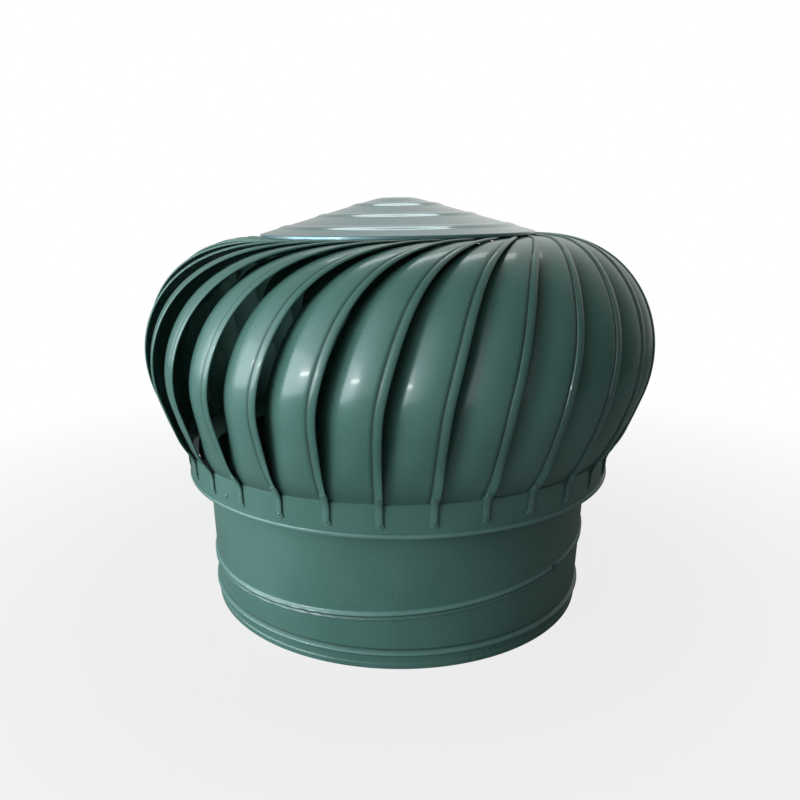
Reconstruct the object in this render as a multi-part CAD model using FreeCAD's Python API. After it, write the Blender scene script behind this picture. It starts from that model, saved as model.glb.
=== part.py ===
import FreeCAD, Part

import math
import os

# Roof turbine ventilator for a 600 mm throat, in millimetres.
# A still neck tube carries a fixed shaft on two crosses. A rotor of curved
# blades between a cap and a skirt turns on two ball bearings on that shaft.
# The origin is the centre of the neck's lower rim, and +Z is up the shaft.

Vec = FreeCAD.Vector
origin = Vec(0, 0, 0)
up_axis = Vec(0, 0, 1)

# Neck tube
neck_radius = 304.0
neck_height = 233.0
neck_sheet = 1.0
hem_height = 9.0
hem_thickness = 1.4
bead_width = 13.0
bead_rise = 4.5
low_bead_height = 25.0
slant_bead_height = 99.0
slant_angle = 5.0
slant_azimuth = 30.0
seam_azimuth = -45.0
seam_width = 34.0

# Skirt ring of the rotor
skirt_clearance = 26.5
skirt_overlap = 22.0
skirt_height = 46.0
skirt_sheet = 1.0
lip_height = 7.0
lip_rise = 2.6

# Blades
rotor_overhang = 46.5
bulge_rise = 137.0
foot_slope = 17.0
blade_count = 31
first_blade_azimuth = -2.6
blade_lap = 2.5
blade_sheet = 1.0
blade_depth = 44.0
blade_top_depth = 7.0
depth_skew = 0.75
depth_taper = 1.8
blade_top_gap = 2.0
blade_foot_gap = 1.0
blade_spans = 8
curl_power = 2.6
kick_power = 6.0
kick_length = 70.0
sweep_lead = 12.0
sweep_slope = 12.5
sweep_curl = 30.0
sweep_blend = 0.109
hem_width = 10.0
hem_rise = 1.4
tab_sheet = 1.6
foot_tab_width = 12.0
foot_tab_rise = 14.0
foot_tab_drop = 14.0
top_tab_width = 14.0
top_tab_length = 26.0
tongue_share = 0.7
tongue_lag = 0.58
tongue_depth = 9.0
tongue_rise = 4.0
fit_gap = 0.3

# Cap and top ring
cap_radius = 201.0
cap_shoulder = 17.0
cap_sheet = 1.0
cap_slope = 15.0
cap_flat_radius = 25.0
cap_lip = 4.0
ridge_radii = (65.0, 114.0, 155.0)
ridge_width = 9.0
ridge_rise = 1.4
ring_inset = 4.0
ring_flange = 25.0
ring_sheet = 1.5
ring_web_run = 15.0

# Shaft, bearings and their seats
shaft_radius = 10.0
thread_radius = 8.0
shaft_tail = 11.0
shaft_shoulder_radius = 16.0
shaft_shoulder_height = 6.0
lower_collar_radius = 13.5
lower_collar_height = 8.0
lower_bearing_radius = 23.5
lower_bearing_width = 14.0
lower_race_radius = 14.25
upper_seat_radius = 8.5
upper_bearing_radius = 20.0
upper_bearing_width = 12.0
upper_race_radius = 12.05
upper_bearing_drop = 17.0
cup_wall = 4.5
cup_lip = 1.0
hub_lip = 3.5
nut_width = 24.0
nut_height = 11.0
thread_end = 2.0

# Crosses in the neck, and the spider of the rotor
lower_cross_height = 62.0
upper_cross_drop = 73.0
cross_width = 30.0
cross_sheet = 3.0
cross_foot = 26.0
cross_centre_radius = 34.0
spacer_radius = 12.0
spider_rise = 32.0
spider_width = 28.0
spider_sheet = 3.0
spider_foot = 24.0
spider_azimuth = 43.0
spider_hole_radius = 20.5
spider_centre_radius = 44.0

neck_inner = neck_radius - neck_sheet
skirt_inner = neck_radius + skirt_clearance
skirt_radius = skirt_inner + skirt_sheet
skirt_bottom = neck_height - skirt_overlap
skirt_top = skirt_bottom + skirt_height
rotor_radius = skirt_radius + rotor_overhang
bulge_centre = cap_radius + cap_shoulder
bulge_radius = rotor_radius - bulge_centre
bulge_height = skirt_top + bulge_rise
foot_tab_end = skirt_bottom + foot_tab_rise
foot_tab_bend = skirt_top - foot_tab_drop
pitch = 360.0 / blade_count
blade_width = pitch + blade_lap
blade_crown = bulge_height + bulge_radius
cap_rim = blade_crown + hem_rise + fit_gap + cap_lip
ring_radius = cap_radius - ring_inset
ring_top = blade_crown - blade_sheet
upper_cross_height = neck_height - upper_cross_drop
shaft_end = lower_cross_height - nut_height - shaft_tail
spider_height = skirt_bottom + spider_rise
spider_top = spider_height + spider_sheet


def revolved(outline):
    # A closed outline of (radius, height) points, turned about the axis.
    points = [Vec(radius, 0, height) for radius, height in outline]
    face = Part.Face(Part.makePolygon(points + points[:1]))
    return face.revolve(origin, up_axis, 360)


def turned(shape, azimuth):
    copy = shape.copy()
    copy.rotate(origin, up_axis, azimuth)
    return copy


def tube(outer, inner, bottom, height):
    outside = Part.makeCylinder(outer, height, Vec(0, 0, bottom))
    return outside.cut(Part.makeCylinder(inner, height, Vec(0, 0, bottom)))


def block(near, far, width, bottom, height):
    # A bar along +X from radius near to radius far, centred on the X axis.
    return Part.makeBox(far - near, width, height, Vec(near, -width / 2, bottom))


def make_neck():
    # The bottom hem and the level bead belong to one turned outline. The
    # level bead is pressed out of the sheet, so a duct stops against it.
    bead_top = low_bead_height + bead_width / 2
    bead_bottom = low_bead_height - bead_width / 2
    neck = revolved([
        (neck_inner, 0),
        (neck_radius + hem_thickness, 0),
        (neck_radius + hem_thickness, hem_height),
        (neck_radius, hem_height + hem_thickness),
        (neck_radius, bead_bottom),
        (neck_radius + bead_rise, low_bead_height),
        (neck_radius, bead_top),
        (neck_radius, neck_height),
        (neck_inner, neck_height),
        (neck_inner, bead_top),
        (neck_inner + bead_rise, low_bead_height),
        (neck_inner, bead_bottom),
    ])
    # The upper bead lies in a plane that rises towards slant_azimuth.
    root = neck_radius - 2 * bead_rise
    slant = revolved([
        (root, -bead_width),
        (neck_radius + bead_rise, 0),
        (root, bead_width),
    ])
    slant.rotate(origin, Vec(0, 1, 0), -slant_angle)
    slant = turned(slant, slant_azimuth)
    slant.translate(Vec(0, 0, slant_bead_height))
    middle = neck_radius - neck_sheet / 2
    slant = slant.cut(Part.makeCylinder(middle, neck_height))
    return neck.fuse(slant.cut(make_seam_gap())).fuse(make_seam())


def seam_sector(outer, inner, bottom, height, start, width):
    # Part of a thin tube between two azimuths, given as a length of arc.
    turn = math.degrees(width / outer)
    outside = Part.makeCylinder(outer, height, Vec(0, 0, bottom), up_axis, turn)
    inside = Part.makeCylinder(inner, height, Vec(0, 0, bottom), up_axis, turn)
    return turned(outside.cut(inside), start)


def make_seam():
    # Above the slanting bead the sheet's end laps over its start.
    rise = neck_radius * math.tan(math.radians(slant_angle))
    lean = math.cos(math.radians(seam_azimuth - slant_azimuth))
    bottom = slant_bead_height + rise * lean + bead_width
    return seam_sector(
        neck_radius + neck_sheet, neck_radius - neck_sheet / 2,
        bottom, neck_height - bottom, seam_azimuth, seam_width,
    )


def make_seam_gap():
    # The slanting bead is open where the lap begins.
    return seam_sector(
        neck_radius + 2 * bead_rise, neck_inner,
        0, neck_height, seam_azimuth, bead_width / 2,
    )


def make_skirt():
    return revolved([
        (skirt_inner, skirt_bottom),
        (skirt_radius, skirt_bottom),
        (skirt_radius + lip_rise, skirt_bottom + lip_height / 3),
        (skirt_radius, skirt_bottom + lip_height),
        (skirt_radius, skirt_top),
        (skirt_inner, skirt_top),
    ])


def edge_frame(length):
    # The blades' free edge in the (radius, height) plane: a straight foot,
    # the bulge's arc and a flat run in to the cap. length is measured up
    # from the widest height. The angle is that of the outward normal.
    angle = length / bulge_radius
    angle = max(math.radians(-foot_slope), min(math.pi / 2, angle))
    straight = length - angle * bulge_radius
    radius = bulge_centre + bulge_radius * math.cos(angle) - straight * math.sin(angle)
    height = bulge_height + bulge_radius * math.sin(angle) + straight * math.cos(angle)
    return radius, height, angle


def edge_foot():
    # Length along the edge where it stands just above the skirt.
    slope = math.radians(foot_slope)
    arc_end = bulge_height - bulge_radius * math.sin(slope)
    drop = arc_end - skirt_top - blade_foot_gap
    return -bulge_radius * slope - drop / math.cos(slope)


def edge_top():
    return bulge_radius * math.pi / 2 + cap_shoulder - blade_top_gap


def foot_depth():
    # The foot of the sheet tucks inside the skirt.
    radius, height, angle = edge_frame(edge_foot())
    return (radius - skirt_inner + fit_gap) / math.cos(angle)


def sweep(length):
    # Azimuth of the free edge in degrees. It starts to lean a little below
    # the widest height, and the share is 1 at its top end.
    share = (length + sweep_lead) / (edge_top() + sweep_lead)
    eased = (share + math.hypot(share, sweep_blend)) / 2
    return sweep_slope * eased + sweep_curl * max(share, 0) ** 4


def depth(length):
    # How far the sheet curls in behind the next blade's edge.
    share = (length - edge_foot()) / (edge_top() - edge_foot())
    ends = foot_depth() * (1 - share) + blade_top_depth * share
    belly = math.sin(math.pi * share ** depth_skew)
    return ends + (blade_depth - ends) * max(belly, 0) ** depth_taper


def kick(length):
    # 1 at the foot, falling to 0 at kick_length above it.
    return max(0.0, 1 - (length - edge_foot()) / kick_length) ** 2


def curl(across, length):
    # 1 at the inner edge, 0 at the free edge. Near the foot it is flat
    # along the skirt and kicks out at the free edge.
    foot = kick(length)
    return (1 - foot) * (1 - across) ** curl_power + foot * (1 - across ** kick_power)


def blade_point(length, across, lift):
    # The sheet lies behind the free edge's normal, and at the foot level with
    # it, so that its lower end runs along the skirt.
    radius, height, angle = edge_frame(length)
    inset = depth(length) * curl(across, length) - lift
    radius -= inset * math.cos(angle)
    height -= inset * math.sin(angle) * (1 - kick(length))
    azimuth = math.radians(sweep(length) - blade_width * (1 - across))
    return Vec(radius * math.cos(azimuth), radius * math.sin(azimuth), height)


def blade_section(length):
    # Closed ring of points round the sheet and its thickened free edge.
    arc = math.radians(blade_width) * edge_frame(length)[0]
    hem = 1 - hem_width / arc
    crest = hem + hem_rise / arc
    sheet = (0.0, hem / 3, hem * 2 / 3, hem)
    outer = [blade_point(length, across, 0) for across in sheet]
    edge = [blade_point(length, crest, hem_rise), blade_point(length, 1, hem_rise)]
    edge.append(blade_point(length, 1, -blade_sheet))
    inner = [blade_point(length, across, -blade_sheet) for across in reversed(sheet)]
    return outer + edge + inner


def triangle(first, second, third):
    return Part.Face(Part.makePolygon([first, second, third, first]))


def folded_solid(sections, under):
    # Flat strips between neighbouring sections, closed at both ends. From
    # point number under on, the ring runs back, and so do its diagonals, so
    # that both sides of the sheet fold along the same lines.
    faces = []
    count = len(sections[0])
    for low, high in zip(sections, sections[1:]):
        for i in range(count):
            j = (i + 1) % count
            start, end = (j, i) if i >= under else (i, j)
            faces.append(triangle(low[i], low[j], high[end]))
            faces.append(triangle(low[start], high[j], high[i]))
    for ring in (sections[0], sections[-1]):
        faces += strip_faces(ring)
    solid = Part.Solid(Part.Shell(faces))
    if solid.Volume < 0:
        solid.reverse()
    return solid


def strip_faces(ring):
    # A thin ring of points is closed by triangles from side to side.
    faces = []
    low, high = 0, len(ring) - 1
    while high - low > 1:
        if high - low > 2:
            faces.append(triangle(ring[low], ring[low + 1], ring[high]))
            low += 1
        faces.append(triangle(ring[low], ring[high - 1], ring[high]))
        high -= 1
    return faces


def make_foot_tab():
    # The free edge runs on over the skirt's outside as a narrow tab.
    start = edge_foot()
    top = edge_frame(start + tongue_rise)
    foot = edge_frame(start)
    outline = []
    rise = tab_sheet / 2
    for radius, height, angle in (top, foot):
        outline.append((radius + rise * math.cos(angle), height + rise * math.sin(angle)))
    outline.append((skirt_radius + tab_sheet, foot_tab_bend))
    outline.append((skirt_radius + tab_sheet, foot_tab_end))
    outline.append((skirt_radius, foot_tab_end))
    outline.append((skirt_radius, foot_tab_bend))
    for radius, height, angle in (foot, top):
        outline.append((radius - rise * math.cos(angle), height - rise * math.sin(angle)))
    azimuth = sweep(start) - math.degrees(hem_width / 2 / foot[0])
    return tab_solid(outline, foot_tab_width, azimuth)


def make_top_tab():
    # Under the cap the free edge ends in a flat tab on the top ring.
    end = edge_top()
    radius = edge_frame(end)[0] + hem_width / 2
    bottom = ring_top
    tab_top = bottom + tab_sheet
    outline = [
        (radius, bottom), (radius, tab_top),
        (radius - top_tab_length, tab_top), (radius - top_tab_length, bottom),
    ]
    azimuth = sweep(end) - math.degrees(hem_width / 2 / radius)
    return tab_solid(outline, top_tab_width, azimuth)


def tab_solid(outline, width, azimuth):
    points = [Vec(radius, -width / 2, height) for radius, height in outline]
    face = Part.Face(Part.makePolygon(points + points[:1]))
    return turned(face.extrude(Vec(0, width, 0)), azimuth)


def make_tongue():
    # A flat strip of the sheet that stands inside the skirt.
    width = skirt_inner * math.radians(blade_width) * tongue_share
    outer = math.sqrt((skirt_inner - fit_gap / 3) ** 2 - width ** 2 / 4)
    bottom = skirt_top - tongue_depth
    height = tongue_depth + blade_foot_gap + tongue_rise
    strip = block(outer - blade_sheet, outer, width, bottom, height)
    return turned(strip, sweep(edge_foot()) - blade_width * tongue_lag)


def make_blade():
    start = edge_foot()
    step = (edge_top() - start) / blade_spans
    sections = [blade_section(start + step * i) for i in range(blade_spans + 1)]
    sheet = folded_solid(sections, len(sections[0]) // 2 + 1)
    return sheet.fuse([make_foot_tab(), make_top_tab(), make_tongue()])


def cap_height(radius):
    # Upper face of the cap's cone.
    return cap_rim + (cap_radius - max(radius, cap_flat_radius)) * math.tan(math.radians(cap_slope))


def cap_under():
    # Drop from the upper to the lower face of the cone.
    return cap_sheet / math.cos(math.radians(cap_slope))


def make_cap():
    inner = cap_radius - cap_sheet
    rim = cap_rim - cap_lip
    outline = [
        (0, cap_height(0) - cap_under()),
        (cap_flat_radius, cap_height(0) - cap_under()),
        (inner, cap_height(inner) - cap_under()),
        (inner, rim),
        (cap_radius, rim),
        (cap_radius, cap_rim),
    ]
    for middle in reversed(ridge_radii):
        outer, near = middle + ridge_width / 2, middle - ridge_width / 2
        outline.append((outer, cap_height(outer)))
        outline.append((middle, cap_height(middle) + ridge_rise))
        outline.append((near, cap_height(near)))
    outline.append((cap_flat_radius, cap_height(0)))
    outline.append((0, cap_height(0)))
    return revolved(outline)


def make_top_ring():
    # A flat flange for the blades' tabs and a web up to the cap.
    near = ring_radius - ring_flange
    web = near - ring_web_run
    under = cap_height(web) - cap_under()
    under_side = cap_height(web + ring_sheet) - cap_under()
    return revolved([
        (ring_radius, ring_top - ring_sheet),
        (ring_radius, ring_top),
        (near + ring_sheet, ring_top),
        (web + ring_sheet, under_side),
        (web, under),
        (near, ring_top - ring_sheet),
    ])


def upper_bearing_bottom():
    return cap_height(0) - cap_under() - upper_bearing_drop - upper_bearing_width


def make_upper_hub():
    # A cup for the upper bearing, welded under the flat top of the cap.
    bottom = upper_bearing_bottom()
    seat = bottom + upper_bearing_width
    wall = cap_flat_radius
    top = cap_height(0) - cap_under()
    return revolved([
        (upper_bearing_radius - hub_lip, seat),
        (upper_bearing_radius, seat),
        (upper_bearing_radius, bottom),
        (wall, bottom),
        (wall, top),
        (upper_bearing_radius - hub_lip, top),
    ])


def make_shaft():
    shoulder = upper_cross_height + cross_sheet
    upper = upper_bearing_bottom()
    seat = upper + upper_bearing_width
    return revolved([
        (0, shaft_end),
        (thread_radius, shaft_end),
        (thread_radius, shoulder),
        (shaft_shoulder_radius, shoulder),
        (shaft_shoulder_radius, shoulder + shaft_shoulder_height),
        (shaft_radius, shoulder + shaft_shoulder_height),
        (shaft_radius, spider_top - lower_collar_height),
        (lower_collar_radius, spider_top - lower_collar_height),
        (lower_collar_radius, spider_top),
        (shaft_radius, spider_top),
        (shaft_radius, upper),
        (upper_seat_radius, upper),
        (upper_seat_radius, seat),
        (thread_radius, seat),
        (thread_radius, seat + nut_height + thread_end),
        (0, seat + nut_height + thread_end),
    ])


def make_nut(bottom):
    corner = nut_width / 2 / math.cos(math.pi / 6)
    points = [Vec(corner, 0, bottom)]
    for i in range(1, 6):
        points.append(turned_point(corner, 60 * i, bottom))
    face = Part.Face(Part.makePolygon(points + points[:1]))
    nut = face.extrude(Vec(0, 0, nut_height))
    return nut.cut(Part.makeCylinder(thread_radius, nut_height, Vec(0, 0, bottom)))


def turned_point(radius, azimuth, height):
    angle = math.radians(azimuth)
    return Vec(radius * math.cos(angle), radius * math.sin(angle), height)


def make_cross(bottom, foot_up, sheet, width, foot, limit, centre, hole):
    # Four flat arms from one plate, with each end bent into a foot that
    # fits the round wall of radius limit.
    plate = Part.makeCylinder(centre, sheet, Vec(0, 0, bottom))
    foot_bottom = bottom if foot_up else bottom + sheet - foot
    for i in range(4):
        arm = block(0, limit + sheet, width, bottom, sheet)
        end = block(limit - sheet, limit + sheet, width, foot_bottom, foot)
        plate = plate.fuse([turned(arm, 90 * i), turned(end, 90 * i)])
    plate = plate.common(Part.makeCylinder(limit, foot + sheet, Vec(0, 0, foot_bottom - sheet / 2)))
    return plate.cut(Part.makeCylinder(hole, sheet, Vec(0, 0, bottom))).removeSplitter()


def make_spider():
    # The rotor's lower cross, with a cup for the lower bearing.
    cross = make_cross(
        spider_height, False, spider_sheet, spider_width, spider_foot,
        skirt_inner, spider_centre_radius, spider_hole_radius,
    )
    cup = tube(
        lower_bearing_radius + cup_wall, lower_bearing_radius,
        spider_top, lower_bearing_width + cup_lip,
    )
    return turned(cross.fuse(cup), spider_azimuth)


def make_support(bottom, foot_up):
    return make_cross(
        bottom, foot_up, cross_sheet, cross_width, cross_foot,
        neck_inner, cross_centre_radius, thread_radius,
    )


def save(name, shape):
    shape.exportStep("parts/" + name + ".step")


def main():
    os.makedirs("parts", exist_ok=True)
    save("neck_tube", make_neck())
    save("lower_support", make_support(lower_cross_height, True))
    save("upper_support", make_support(upper_cross_height, False))
    save("shaft", make_shaft())
    spacer_bottom = lower_cross_height + cross_sheet
    save("spacer_tube", tube(
        spacer_radius, thread_radius, spacer_bottom, upper_cross_height - spacer_bottom))
    save("shaft_nut", make_nut(lower_cross_height - nut_height))
    upper = upper_bearing_bottom()
    save("lock_nut", make_nut(upper + upper_bearing_width))
    save("lower_inner_ring", tube(
        lower_race_radius, shaft_radius, spider_top, lower_bearing_width))
    save("lower_outer_ring", tube(
        lower_bearing_radius, lower_race_radius + fit_gap, spider_top, lower_bearing_width))
    save("upper_inner_ring", tube(
        upper_race_radius, upper_seat_radius, upper, upper_bearing_width))
    save("upper_outer_ring", tube(
        upper_bearing_radius, upper_race_radius + fit_gap, upper, upper_bearing_width))
    save("skirt_ring", make_skirt())
    save("rotor_spider", make_spider())
    save("top_ring", make_top_ring())
    save("upper_hub", make_upper_hub())
    save("top_cap", make_cap())
    blade = make_blade()
    for i in range(blade_count):
        save("blade_%02d" % (i + 1), turned(blade, first_blade_azimuth + pitch * i))


main()
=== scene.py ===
import math

import bpy
import numpy as np
from mathutils import Matrix, Vector


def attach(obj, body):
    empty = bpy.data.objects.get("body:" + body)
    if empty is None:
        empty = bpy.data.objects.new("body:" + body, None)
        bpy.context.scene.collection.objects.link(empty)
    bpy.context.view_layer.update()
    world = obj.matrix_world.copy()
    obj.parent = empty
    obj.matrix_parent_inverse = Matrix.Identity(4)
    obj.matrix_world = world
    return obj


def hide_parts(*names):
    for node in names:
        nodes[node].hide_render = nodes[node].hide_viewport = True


# Roof turbine ventilator: the sheet-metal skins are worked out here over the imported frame.
# Lengths are in metres, and angles in degrees where they stand in a dictionary.

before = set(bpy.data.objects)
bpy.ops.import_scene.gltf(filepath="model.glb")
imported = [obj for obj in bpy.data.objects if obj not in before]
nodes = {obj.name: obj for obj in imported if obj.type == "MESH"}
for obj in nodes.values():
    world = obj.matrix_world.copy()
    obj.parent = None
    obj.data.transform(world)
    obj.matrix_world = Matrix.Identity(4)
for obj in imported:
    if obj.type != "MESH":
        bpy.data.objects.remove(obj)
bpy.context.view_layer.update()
print("frame loaded:", len(nodes), "nodes")


def gridFaces(rows, columns, closeRows=False, closeColumns=False):
    # Quads between neighbours of a rows x columns grid. A closed direction joins its last line to its first.
    r = np.arange(rows if closeRows else rows - 1)
    c = np.arange(columns if closeColumns else columns - 1)
    r, c = np.meshgrid(r, c, indexing="ij")
    nextR, nextC = (r + 1) % rows, (c + 1) % columns
    corners = [r * columns + c, r * columns + nextC, nextR * columns + nextC, nextR * columns + c]
    return np.stack(corners, -1).reshape(-1, 4)


def endFaces(count, start, flip):
    # A section ring of count points is closed by quads from its upper side to its under side.
    i = np.arange(count // 2 - 1)
    quads = np.stack([i, count - 1 - i, count - 2 - i, i + 1], -1) + start
    return quads[:, ::-1] if flip else quads


def poleFans(rows, columns):
    # Triangles that close a turned grid's first and last column round two poles, which follow its points.
    i = np.arange(rows)
    j = (i + 1) % rows
    pole = np.full(rows, rows * columns)
    last = columns - 1
    return [np.stack([i * columns, j * columns, pole], -1),
            np.stack([j * columns + last, i * columns + last, pole + 1], -1)]


class Piece:
    # Collects grids, then becomes one mesh object that rides on a body.
    def __init__(self, name):
        self.name, self.points, self.faces, self.uvs, self.count = name, [], [], [], 0

    def add(self, points, faces, uv=None):
        flat = np.asarray(points, float).reshape(-1, 3)
        self.points.append(flat)
        self.faces += [f + self.count for f in faces]
        self.uvs.append(np.zeros((len(flat), 2)) if uv is None else np.asarray(uv, float).reshape(-1, 2))
        self.count += len(flat)

    def addLoops(self, grid, uv=None):
        # grid is (stations, ring, 3): a closed ring carried along a path, closed at both ends
        rows, ring = grid.shape[:2]
        faces = [gridFaces(rows, ring, closeColumns=True), endFaces(ring, 0, False),
                 endFaces(ring, (rows - 1) * ring, True)]
        self.add(grid, faces, uv)

    def finish(self, material, body, standsFor=(), sharp=32):
        # Edges that bend by more than sharp degrees stay sharp.
        mesh = bpy.data.meshes.new(self.name)
        points = np.concatenate(self.points).astype(np.float32)
        corners = np.concatenate([f.ravel() for f in self.faces]).astype(np.int32)
        counts = np.concatenate([np.full(len(f), f.shape[1]) for f in self.faces])
        mesh.vertices.add(len(points))
        mesh.vertices.foreach_set("co", points.ravel())
        mesh.loops.add(len(corners))
        mesh.loops.foreach_set("vertex_index", corners)
        mesh.polygons.add(len(counts))
        starts = np.concatenate([[0], np.cumsum(counts)[:-1]]).astype(np.int32)
        mesh.polygons.foreach_set("loop_start", starts)
        mesh.polygons.foreach_set("use_smooth", np.ones(len(counts), bool))
        mesh.update(calc_edges=True)
        layer = mesh.uv_layers.new(name="sheet")
        layer.data.foreach_set("uv", np.concatenate(self.uvs)[corners].astype(np.float32).ravel())
        mesh.validate()
        mesh.set_sharp_from_angle(angle=math.radians(sharp))
        mesh.materials.append(material)
        made = bpy.data.objects.new(self.name, mesh)
        bpy.context.scene.collection.objects.link(made)
        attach(made, body)
        if standsFor:
            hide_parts(*standsFor)


def turnedGrid(radii, heights, azimuths):
    # A profile carried round the axis: x = r cos a, y = r sin a, z = h, one row for each azimuth in radians.
    r, a = np.meshgrid(radii, azimuths)
    h = np.broadcast_to(heights, r.shape)
    return np.stack([r * np.cos(a), r * np.sin(a), h], -1)


def ringOfTurn(count):
    return np.linspace(0, 2 * np.pi, count, endpoint=False)


def bump(distance, half):
    # 1 at the middle, 0 from half on, with a level start and end: (1 + cos) / 2
    return 0.5 * (1 + np.cos(np.pi * np.clip(distance / half, -1, 1)))


def smoothStep(value, low, high):
    t = np.clip((value - low) / (high - low), 0, 1)
    return t * t * (3 - 2 * t)


class Wire:
    # One output socket. Sums, products and powers of it add Math nodes.
    def __init__(self, recipe, socket):
        self.recipe, self.socket = recipe, socket

    def math(self, operation, *values):
        return self.recipe.node("ShaderNodeMath", {"operation": operation}, dict(enumerate(values)))

    def __add__(self, other): return self.math("ADD", self, other)
    def __radd__(self, other): return self.math("ADD", other, self)
    def __sub__(self, other): return self.math("SUBTRACT", self, other)
    def __rsub__(self, other): return self.math("SUBTRACT", other, self)
    def __mul__(self, other): return self.math("MULTIPLY", self, other)
    def __rmul__(self, other): return self.math("MULTIPLY", other, self)
    def __truediv__(self, other): return self.math("DIVIDE", self, other)
    def __pow__(self, other): return self.math("POWER", self, other)

    def within(self, low, high):
        # 0 at low, 1 at high, held at both ends
        return self.recipe.node("ShaderNodeMapRange", {"clamp": True},
                                {"Value": self, "From Min": low, "From Max": high})

    def twin(self, output):
        # another output of the same node
        return Wire(self.recipe, self.socket.node.outputs[output])


class Recipe:
    # The node tree of a material or a world, with one method that makes any node.
    def __init__(self, owner):
        owner.use_nodes = True
        self.owner, self.tree, self.step = owner, owner.node_tree, 0
        self.tree.nodes.clear()

    def node(self, kind, settings=None, sockets=None, output=0):
        made = self.tree.nodes.new(kind)
        made.location = (180 * (self.step % 12), -220 * (self.step // 12))
        self.step += 1
        for key, value in (settings or {}).items():
            setattr(made, key, value)
        for key, value in (sockets or {}).items():
            self.feed(made.inputs[key], value)
        return Wire(self, made.outputs[output]) if len(made.outputs) else made

    def feed(self, socket, value):
        if isinstance(value, Wire):
            self.tree.links.new(value.socket, socket)
        elif isinstance(value, tuple) and len(value) == 3 and len(socket.default_value) == 4:
            socket.default_value = (*value, 1)
        else:
            socket.default_value = value

    def place(self):
        return self.node("ShaderNodeTexCoord", output="Object")

    def noise(self, where, scale, detail, roughness):
        sockets = {"Vector": where, "Scale": scale, "Detail": detail, "Roughness": roughness}
        return self.node("ShaderNodeTexNoise", {"noise_dimensions": "3D"}, sockets, "Fac")

    def blend(self, share, first, second):
        # Sockets 6 and 7 and output 2 of the Mix node are its colours.
        return self.node("ShaderNodeMix", {"data_type": "RGBA"}, {0: share, 6: first, 7: second}, 2)

    def bump(self, height, distance, strength, **sockets):
        return self.node("ShaderNodeBump", None,
                         {"Height": height, "Distance": distance, "Strength": strength, **sockets})

    def surface(self, **sockets):
        named = {key.replace("_", " "): value for key, value in sockets.items()}
        shader = self.node("ShaderNodeBsdfPrincipled", None, named)
        self.node("ShaderNodeOutputMaterial", None, {"Surface": shader})
        return self.owner


# A noise is given as scale, detail and roughness, and its span is what becomes 0 to 1.
greenPaintLook = {
    "base": (0.083, 0.186, 0.154),
    "faded": (0.106, 0.217, 0.183),
    "mottle": (7.0, 3.0, 0.55),
    "mottleSpan": (0.35, 0.7),
    "cloud": (16.0, 5.0, 0.6),
    "cloudSpan": (0.4, 0.75),
    "dust": (0.25, 0.32, 0.29),
    "dustShare": 0.16,
    "speck": (95.0, 4.0, 0.7),
    "speckSpan": (0.52, 0.78),
    # A dark green laid into grooves, creases and joints as painted shade.
    "paintedShade": (0.012, 0.026, 0.022),
    "paintedShadeShare": 0.8,
    "paintedShadeEven": 0.7,
    "paintedShadeCloud": 0.3,
    # A pale green laid on crests as worn paint and painted highlight.
    "wearAndHighlight": (0.22, 0.38, 0.36),
    "wearAndHighlightShare": 0.62,
    "wearAndHighlightEven": 0.6,
    "wearAndHighlightCloud": 0.4,
    "roughness": (0.24, 0.38),
    "roughMottle": 0.6,
    "roughCloud": 0.4,
    "roughInPaintedShade": 0.3,
    "peel": (420.0, 2.0, 0.5),
    "peelHeight": 0.00005,
    "peelStrength": 0.6,
    "wave": (9.0, 2.0, 0.5),
    "waveHeight": 0.0007,
    "waveStrength": 0.5,
    "metallic": 0.0,
    "coat": 0.34,
    "coatRoughness": 0.07,
}


def makeGreenPaint(name, look):
    # Two greens mottled by slow noise, thin dust in finer noise, orange peel and slow waves as bump.
    # The sheet layer's U is painted shade in grooves, creases and joints, its V the pale crests of worn paint
    # and painted highlight, both from 0 to 1.
    r = Recipe(bpy.data.materials.new(name))
    where = r.place()
    sheet = r.node("ShaderNodeUVMap", {"uv_map": "sheet"})
    paintedShadeLayer = r.node("ShaderNodeSeparateXYZ", None, {"Vector": sheet})
    crest = paintedShadeLayer.twin("Y")
    mottle = r.noise(where, *look["mottle"]).within(*look["mottleSpan"])
    speck = r.noise(where, *look["speck"]).within(*look["speckSpan"])
    cloud = r.noise(where, *look["cloud"]).within(*look["cloudSpan"])
    # The pale mix is worn paint and painted highlight.
    wearAndHighlight = crest * look["wearAndHighlightShare"] * (look["wearAndHighlightEven"] + look["wearAndHighlightCloud"] * cloud)
    # The dark mix is painted shade.
    paintedShade = paintedShadeLayer * look["paintedShadeShare"] * (look["paintedShadeEven"] + look["paintedShadeCloud"] * cloud)
    colour = r.blend(mottle, look["base"], look["faded"])
    colour = r.blend(speck * cloud * look["dustShare"], colour, look["dust"])
    colour = r.blend(wearAndHighlight, colour, look["wearAndHighlight"])
    colour = r.blend(paintedShade, colour, look["paintedShade"])
    low, high = look["roughness"]
    uneven = look["roughMottle"] * mottle + look["roughCloud"] * cloud
    rough = low + (high - low) * uneven + look["roughInPaintedShade"] * paintedShadeLayer
    wave = r.bump(r.noise(where, *look["wave"]), look["waveHeight"], look["waveStrength"])
    peel = r.bump(r.noise(where, *look["peel"]), look["peelHeight"], look["peelStrength"], Normal=wave)
    return r.surface(Base_Color=colour, Roughness=rough, Normal=peel, Metallic=look["metallic"],
                     Coat_Weight=look["coat"], Coat_Roughness=look["coatRoughness"])


capPaintLook = dict(greenPaintLook, base=(0.155, 0.275, 0.29), faded=(0.195, 0.32, 0.335), dustShare=0.25,
                    roughness=(0.16, 0.28), metallic=0.36, coat=0.8)
framePaintLook = dict(greenPaintLook, base=(0.05, 0.1, 0.088), faded=(0.07, 0.13, 0.115), dustShare=0.12,
                      roughness=(0.4, 0.6))
rivetPaintLook = dict(greenPaintLook, base=(0.11, 0.18, 0.165), dustShare=0.3)

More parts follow.
